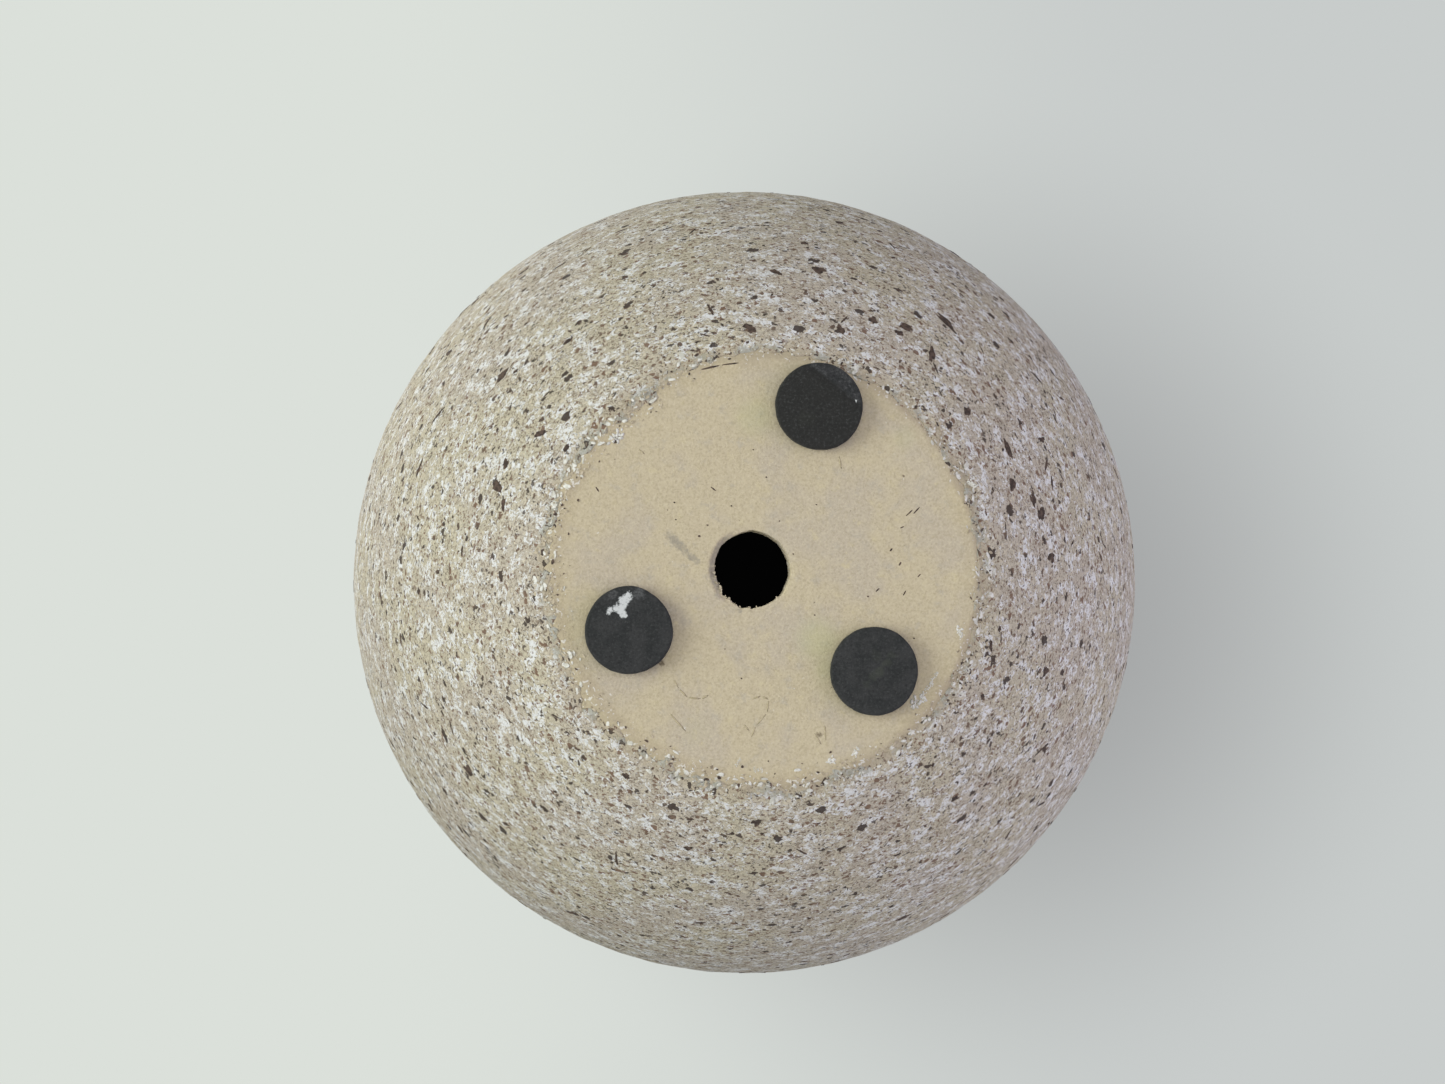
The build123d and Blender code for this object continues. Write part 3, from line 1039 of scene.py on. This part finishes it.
# %% Flakes on the torn side of the drain hole
RIM_FLAKES = 42
FLAKES_DIRECTION, FLAKES_SPREAD = radians(118), radians(34)
bm = bmesh.new()
for number in range(RIM_FLAKES):
    direction = random.gauss(FLAKES_DIRECTION, FLAKES_SPREAD)
    reach = DRAIN_RADIUS + TOOTH_DEPTH * tooth(direction) + random.uniform(-0.15, 0.25) * MM
    place = DRAIN + heading(direction) * reach + Vector((0, 0, BASE_Z + random.uniform(0.2, 0.5) * MM))
    length = random.uniform(0.25, 0.65) * MM
    tilt = (BASE_NORMAL + 0.6 * Vector((random.uniform(-1, 1), random.uniform(-1, 1), 0))).normalized()
    crumb(bm, place, tilt, length, length * random.uniform(0.3, 0.7), 0.14 * MM, random.uniform(0, pi))
made("rim_flakes", bm, sand_mineral, smooth=False)

# %% [markdown]
# ## The foam feet
#
# A foot is a disc punched from foam sheet: its cut edge bulges a little, its rim is soft, and its face
# is slightly crowned. The die is worn, so no disc is quite round, and one is cut short on one side.
# Another sticks out over the corner of the base, so it is creased and bent up against the ball.

# %% Build one foot
PAD_STEPS = 128
CUT_DIRECTION = radians(-35)
CUT_SPREAD = radians(50)
CUT_SHORT = 0.035
pads = ["foot_pad_1", "foot_pad_2", "foot_pad_3"]


def pad_outline(radius, low, high):
    """From the middle of the standing face out round the soft rim to the middle of the upper face."""
    rim = 0.34 * MM
    crown = 0.05 * MM
    shares = [i / 26 for i in range(1, 25)]
    face = [(radius * share, low + crown * rise(0.55, 1, share)) for share in shares]
    edge = arc(radius - rim, low + rim + crown, rim, -pi / 2, 0, 6)
    side = [(radius + 0.05 * MM, (low + high) / 2), (radius - 0.03 * MM, high - 0.12 * MM)]
    top = [(radius - 0.2 * MM, high), (radius * 0.6, high), (radius * 0.2, high)]
    return face + edge + side + top


def foam_pad(name, seed, crease=None, cut_short=0.0):
    """One foot. Cut short is the share that the die missed on the side towards CUT_DIRECTION."""
    low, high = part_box(name)
    middle = (low + high) / 2
    radius = (high[0] - low[0]) / 2 + 0.02 * MM
    bm = spun(pad_outline(radius, low[2], high[2]), PAD_STEPS, closed=False)
    bmesh.ops.holes_fill(bm, edges=[e for e in bm.edges if e.is_boundary], sides=0)
    bmesh.ops.recalc_face_normals(bm, faces=bm.faces)
    paint = bm.verts.layers.float_color.new(SCUFFS)
    for vert in bm.verts:
        share = vert.co.to_2d().length / radius
        direction = atan2(vert.co.y, vert.co.x)
        ring = heading(direction, seed)
        uneven = 1 + 0.022 * noise.noise(ring * 1.3) + 0.008 * noise.noise(ring * 5)
        uneven -= cut_short * near(direction, CUT_DIRECTION, 0, CUT_SPREAD)
        vert.co.x *= uneven
        vert.co.y *= uneven
        if vert.co.z < middle[2]:
            vert.co.z += 0.03 * MM * (1 + noise.noise(vert.co / (2.5 * MM) + ring)) * rise(0.2, 0.9, share)
        if crease:
            across = vert.co.to_2d().dot(crease[0]) - crease[1]
            groove = (1 - rise(0, 0.40 * MM, abs(across))) * 0.14 * MM
            bend = max(across, 0) * 0.24
            facing = 1 if vert.co.z < middle[2] else 0.5
            vert.co.z += groove * facing + bend * (0.6 + 0.4 * facing)
        vert[paint] = scuffed(name, vert.co.to_2d(), crease)
        vert.co += Vector((middle[0], middle[1], 0))
    piece = made(name + "_foam", bm, foam, name)
    return piece


# %% What has rubbed off on the feet
# tone is 1 where the foam is a cool grey, and 0 where it has been pressed to a warm black; grey and tone
# also hold painted light on the creased foot's bent part
CHALK, GREY_DUST_AND_LIGHT, GREEN, TONE_AND_LIGHT = range(4)
pad_dabs = {
    "foot_pad_1": {
        GREEN: [
            (-1.2, 2, 0.9, 0.35), (-0.2, 0.9, 1, 0.45), (0.7, -0.1, 1.1, 0.55), (1.6, -1.1, 1, 0.5),
            (2.5, -2.2, 0.9, 0.4), (0.2, -2.2, 1.3, 0.3),
        ],
        GREY_DUST_AND_LIGHT: [(2.6, -2.9, 0.8, 0.28), (-2.6, 1.2, 0.7, 0.24), (-0.2, 2.6, 0.9, 0.24)],
    },
    "foot_pad_2": {
        CHALK: [(5.35, -0.62, 0.36, 1.5), (5.12, -0.8, 0.26, 1.3)],
        GREEN: [(-2, 2, 2, 0.2)],
        GREY_DUST_AND_LIGHT: [(4.6, -0.2, 0.8, 0.36)],
    },
    "foot_pad_3": {
        CHALK: [
            (-0.4, -4.6, 1.2, 0.9), (-0.8, -3.9, 1.4, 0.95), (-1.5, -3.1, 1.4, 0.95),
            (-2.8, -2.9, 0.9, 0.85), (-1, -2.3, 1, 0.9), (0.1, -5.3, 0.8, 0.75),
        ],
        GREY_DUST_AND_LIGHT: [
            (-2.4, -5, 1.2, 0.62), (1.4, -5.4, 1.7, 0.66), (2.6, -4.6, 1.2, 0.46),
            (-3.8, -2.4, 1.2, 0.3), (0.6, -3.9, 1.5, 0.42), (-0.5, -1.3, 0.9, 0.4),
        ],
    },
}


# noise frays a dab's outline, and is read in one plane for each way that it moves it
PLANES = (Vector((0, 0, 4.4)), Vector((0, 0, 9.1)))


def scuffed(name, flat, crease):
    """The scuff channels at a place on a foot, measured from its middle."""
    channels = [0.0, 0.0, 0.0, 0.0 if crease else 1.0]
    if crease:
        # painted light: the bent part beyond the crease is painted lighter and greyer, as light falls on it
        # differently from the flat part
        lit_beyond_crease = rise(-0.1 * MM, 0.3 * MM, flat.dot(crease[0]) - crease[1])
        channels[GREY_DUST_AND_LIGHT], channels[TONE_AND_LIGHT] = 0.45 * lit_beyond_crease, 0.9 * lit_beyond_crease
    rubbed = flat.to_3d() / MM
    fray = [0.5 * noise.noise(rubbed / 1.3 + up) + 0.3 * noise.noise(rubbed / 0.55 + up) for up in PLANES]
    dab_on(channels, pad_dabs[name], flat + Vector(fray) * MM, 0.35)
    return channels


CREASE = (Vector((0.619, -0.786)), 3.7 * MM)
for number, pad in enumerate(pads):
    creased = CREASE if pad == "foot_pad_2" else None
    foam_pad(pad, 2.7 * number, creased, CUT_SHORT if pad == "foot_pad_3" else 0.0)

# %% [markdown]
# The film of adhesive between foot and base is the CAD model's own disc, with a better finish. Only
# its edge shows, as a thin line under the foot.

# %% Adhesive films
for number in (1, 2, 3):
    node = frame["nodes"][f"pad_adhesive_{number}"]
    node.data.materials.clear()
    node.data.materials.append(adhesive)
